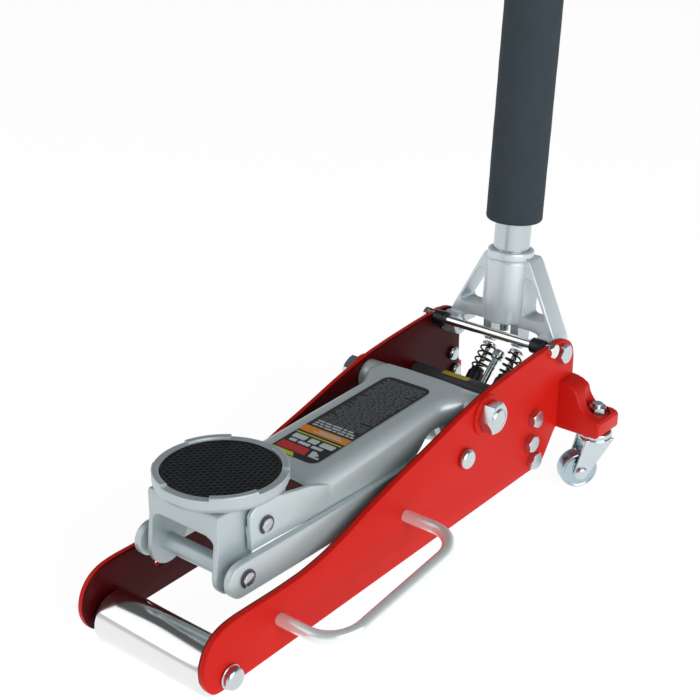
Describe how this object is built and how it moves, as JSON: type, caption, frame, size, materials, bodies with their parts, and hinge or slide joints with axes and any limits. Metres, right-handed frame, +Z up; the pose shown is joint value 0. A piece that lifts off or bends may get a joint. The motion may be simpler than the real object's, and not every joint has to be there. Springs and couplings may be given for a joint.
{
  "type": "floor jack",
  "caption": "Low-profile hydraulic floor jack: slotted side-plate frame on a front roller and rear swivel casters, lifting arm with level round saddle, pumping handle.",
  "frame": {"origin": "centre of the bounding box at floor level; the jack's own mid-plane is x = -0.0075 m because the carry handle is on the left side only", "axes": "+Z up; -Y to the front (nose, roller and saddle); +Y to the rear (casters and handle); +X to the jack's left, where the carry handle is"},
  "size_m": [0.2608, 0.5842, 1.0001],
  "materials": {
    "plate": "glossy red paint",
    "arm": "satin silver paint",
    "casting": "satin silver paint on a casting",
    "yoke": "satin silver",
    "roller": "mirror",
    "fastener": "bright zinc",
    "chromed": "polished",
    "pump": "rough casting",
    "black_steel": "black oxide",
    "tube": "satin silver paint",
    "pad": "matte black",
    "sleeve": "matte black",
    "foam": "dark grey foam",
    "grip": "matte black",
    "caster": "bright zinc"
  },
  "bodies": {
    "frame": {"side_plate_left": "plate", "side_plate_right": "plate", "front_axle_bolt": "fastener", "front_axle_nut": "fastener", "main_pivot_bolt": "fastener", "main_pivot_nut": "fastener", "link_rivet_left": "fastener", "link_rivet_right": "fastener", "pump_body": "pump", "ram_cylinder": "fastener", "pump_bolt_left_1": "fastener", "pump_bolt_left_2": "fastener", "pump_bolt_left_3": "fastener", "pump_bolt_right_1": "fastener", "pump_bolt_right_2": "fastener", "pump_bolt_right_3": "fastener", "plunger_gland_left": "black_steel", "plunger_gland_right": "black_steel", "pump_spring_left": "black_steel", "pump_spring_right": "black_steel", "tie_rod": "chromed", "tie_sleeve_left": "sleeve", "tie_sleeve_right": "sleeve", "yoke_bolt_left": "fastener", "yoke_bolt_right": "fastener", "carry_handle": "tube", "caster_bracket_left": "plate", "caster_bracket_right": "plate", "bracket_bolt_left_1": "fastener", "bracket_bolt_left_2": "fastener", "bracket_bolt_right_1": "fastener", "bracket_bolt_right_2": "fastener", "caster_kingpin_left": "fastener", "caster_kingpin_right": "fastener"},
    "roller": {"front_roller": "roller"},
    "arm": {"lift_arm": "arm"},
    "links": {"lower_link_left": "arm", "lower_link_right": "arm"},
    "head": {"saddle_head": "casting", "head_pin_upper": "fastener", "head_pin_lower": "fastener", "pin_clip_upper": "black_steel", "pin_clip_lower": "black_steel"},
    "saddle": {"saddle": "casting", "saddle_pad": "pad"},
    "ram": {"ram_rod": "chromed"},
    "yoke": {"handle_yoke": "yoke"},
    "handle": {"handle_tube_lower": "tube", "handle_tube_upper": "tube", "foam_sleeve": "foam", "handle_grip": "grip"},
    "release_rod": {"release_rod": "fastener"},
    "plunger_left": {"plunger_left": "black_steel"},
    "plunger_right": {"plunger_right": "black_steel"},
    "fork_left": {"caster_fork_left": "caster", "caster_axle_left": "fastener"},
    "fork_right": {"caster_fork_right": "caster", "caster_axle_right": "fastener"},
    "wheel_left": {"caster_wheel_left": "caster"},
    "wheel_right": {"caster_wheel_right": "caster"}
  },
  "joints": [
    {"name": "roller_spin", "type": "hinge", "parent": "frame", "child": "roller", "pos_m": [-0.0075, -0.264, 0.023], "axis": [1, 0, 0], "continuous": true},
    {"name": "arm_lift", "type": "hinge", "parent": "frame", "child": "arm", "pos_m": [-0.0075, 0.073, 0.12], "axis": [-1, 0, 0], "range_deg": [-13, 50]},
    {"name": "links_swing", "type": "hinge", "parent": "frame", "child": "links", "pos_m": [-0.0075, 0.042, 0.0885], "axis": [-1, 0, 0], "range_deg": [-13, 50]},
    {"name": "head_level", "type": "hinge", "parent": "arm", "child": "head", "pos_m": [-0.0075, -0.192, 0.115], "axis": [-1, 0, 0], "range_deg": [-50, 13]},
    {"name": "saddle_turn", "type": "hinge", "parent": "head", "child": "saddle", "pos_m": [-0.0075, -0.1942, 0.138], "axis": [0, 0, 1], "continuous": true},
    {"name": "ram_push", "type": "slide", "parent": "frame", "child": "ram", "axis": [0, -1, 0], "range_m": [-0.0112, 0.0423]},
    {"name": "handle_pump", "type": "hinge", "parent": "frame", "child": "yoke", "pos_m": [-0.0075, 0.199, 0.139], "axis": [-1, 0, 0], "range_deg": [-4, 68]},
    {"name": "handle_twist", "type": "hinge", "parent": "yoke", "child": "handle", "pos_m": [-0.0075, 0.20721, 0.14137], "axis": [0, 0.0772, 0.997], "range_deg": [0, 60]},
    {"name": "release_turn", "type": "hinge", "parent": "frame", "child": "release_rod", "pos_m": [-0.0075, 0.169, 0.0907], "axis": [0, 0.7495, 0.662], "range_deg": [0, 60]},
    {"name": "plunger_stroke_left", "type": "slide", "parent": "frame", "child": "plunger_left", "axis": [0, -0.7071, -0.7071], "range_m": [-0.001, 0.0145], "deforming": ["pump_spring_left"]},
    {"name": "plunger_stroke_right", "type": "slide", "parent": "frame", "child": "plunger_right", "axis": [0, -0.7071, -0.7071], "range_m": [-0.001, 0.0145], "deforming": ["pump_spring_right"]},
    {"name": "caster_swivel_left", "type": "hinge", "parent": "frame", "child": "fork_left", "pos_m": [0.0965, 0.22, 0.05], "axis": [0, 0, 1], "continuous": true},
    {"name": "caster_swivel_right", "type": "hinge", "parent": "frame", "child": "fork_right", "pos_m": [-0.1115, 0.22, 0.05], "axis": [0, 0, 1], "continuous": true},
    {"name": "wheel_spin_left", "type": "hinge", "parent": "fork_left", "child": "wheel_left", "pos_m": [0.08603, 0.2066, 0.019], "axis": [0.788, -0.6157, 0], "continuous": true},
    {"name": "wheel_spin_right", "type": "hinge", "parent": "fork_right", "child": "wheel_right", "pos_m": [-0.10103, 0.2066, 0.019], "axis": [0.788, 0.6157, 0], "continuous": true}
  ],
  "couplings": [
    {"joint": "links_swing", "follows": "arm_lift", "ratio": 1},
    {"joint": "head_level", "follows": "arm_lift", "ratio": -1},
    {"joint": "ram_push", "follows": "arm_lift", "m_per_rad": 0.0481},
    {"joint": "plunger_stroke_left", "follows": "handle_pump", "m_per_rad": 0.012},
    {"joint": "plunger_stroke_right", "follows": "handle_pump", "m_per_rad": 0.012},
    {"joint": "release_turn", "follows": "handle_twist", "ratio": 1}
  ]
}
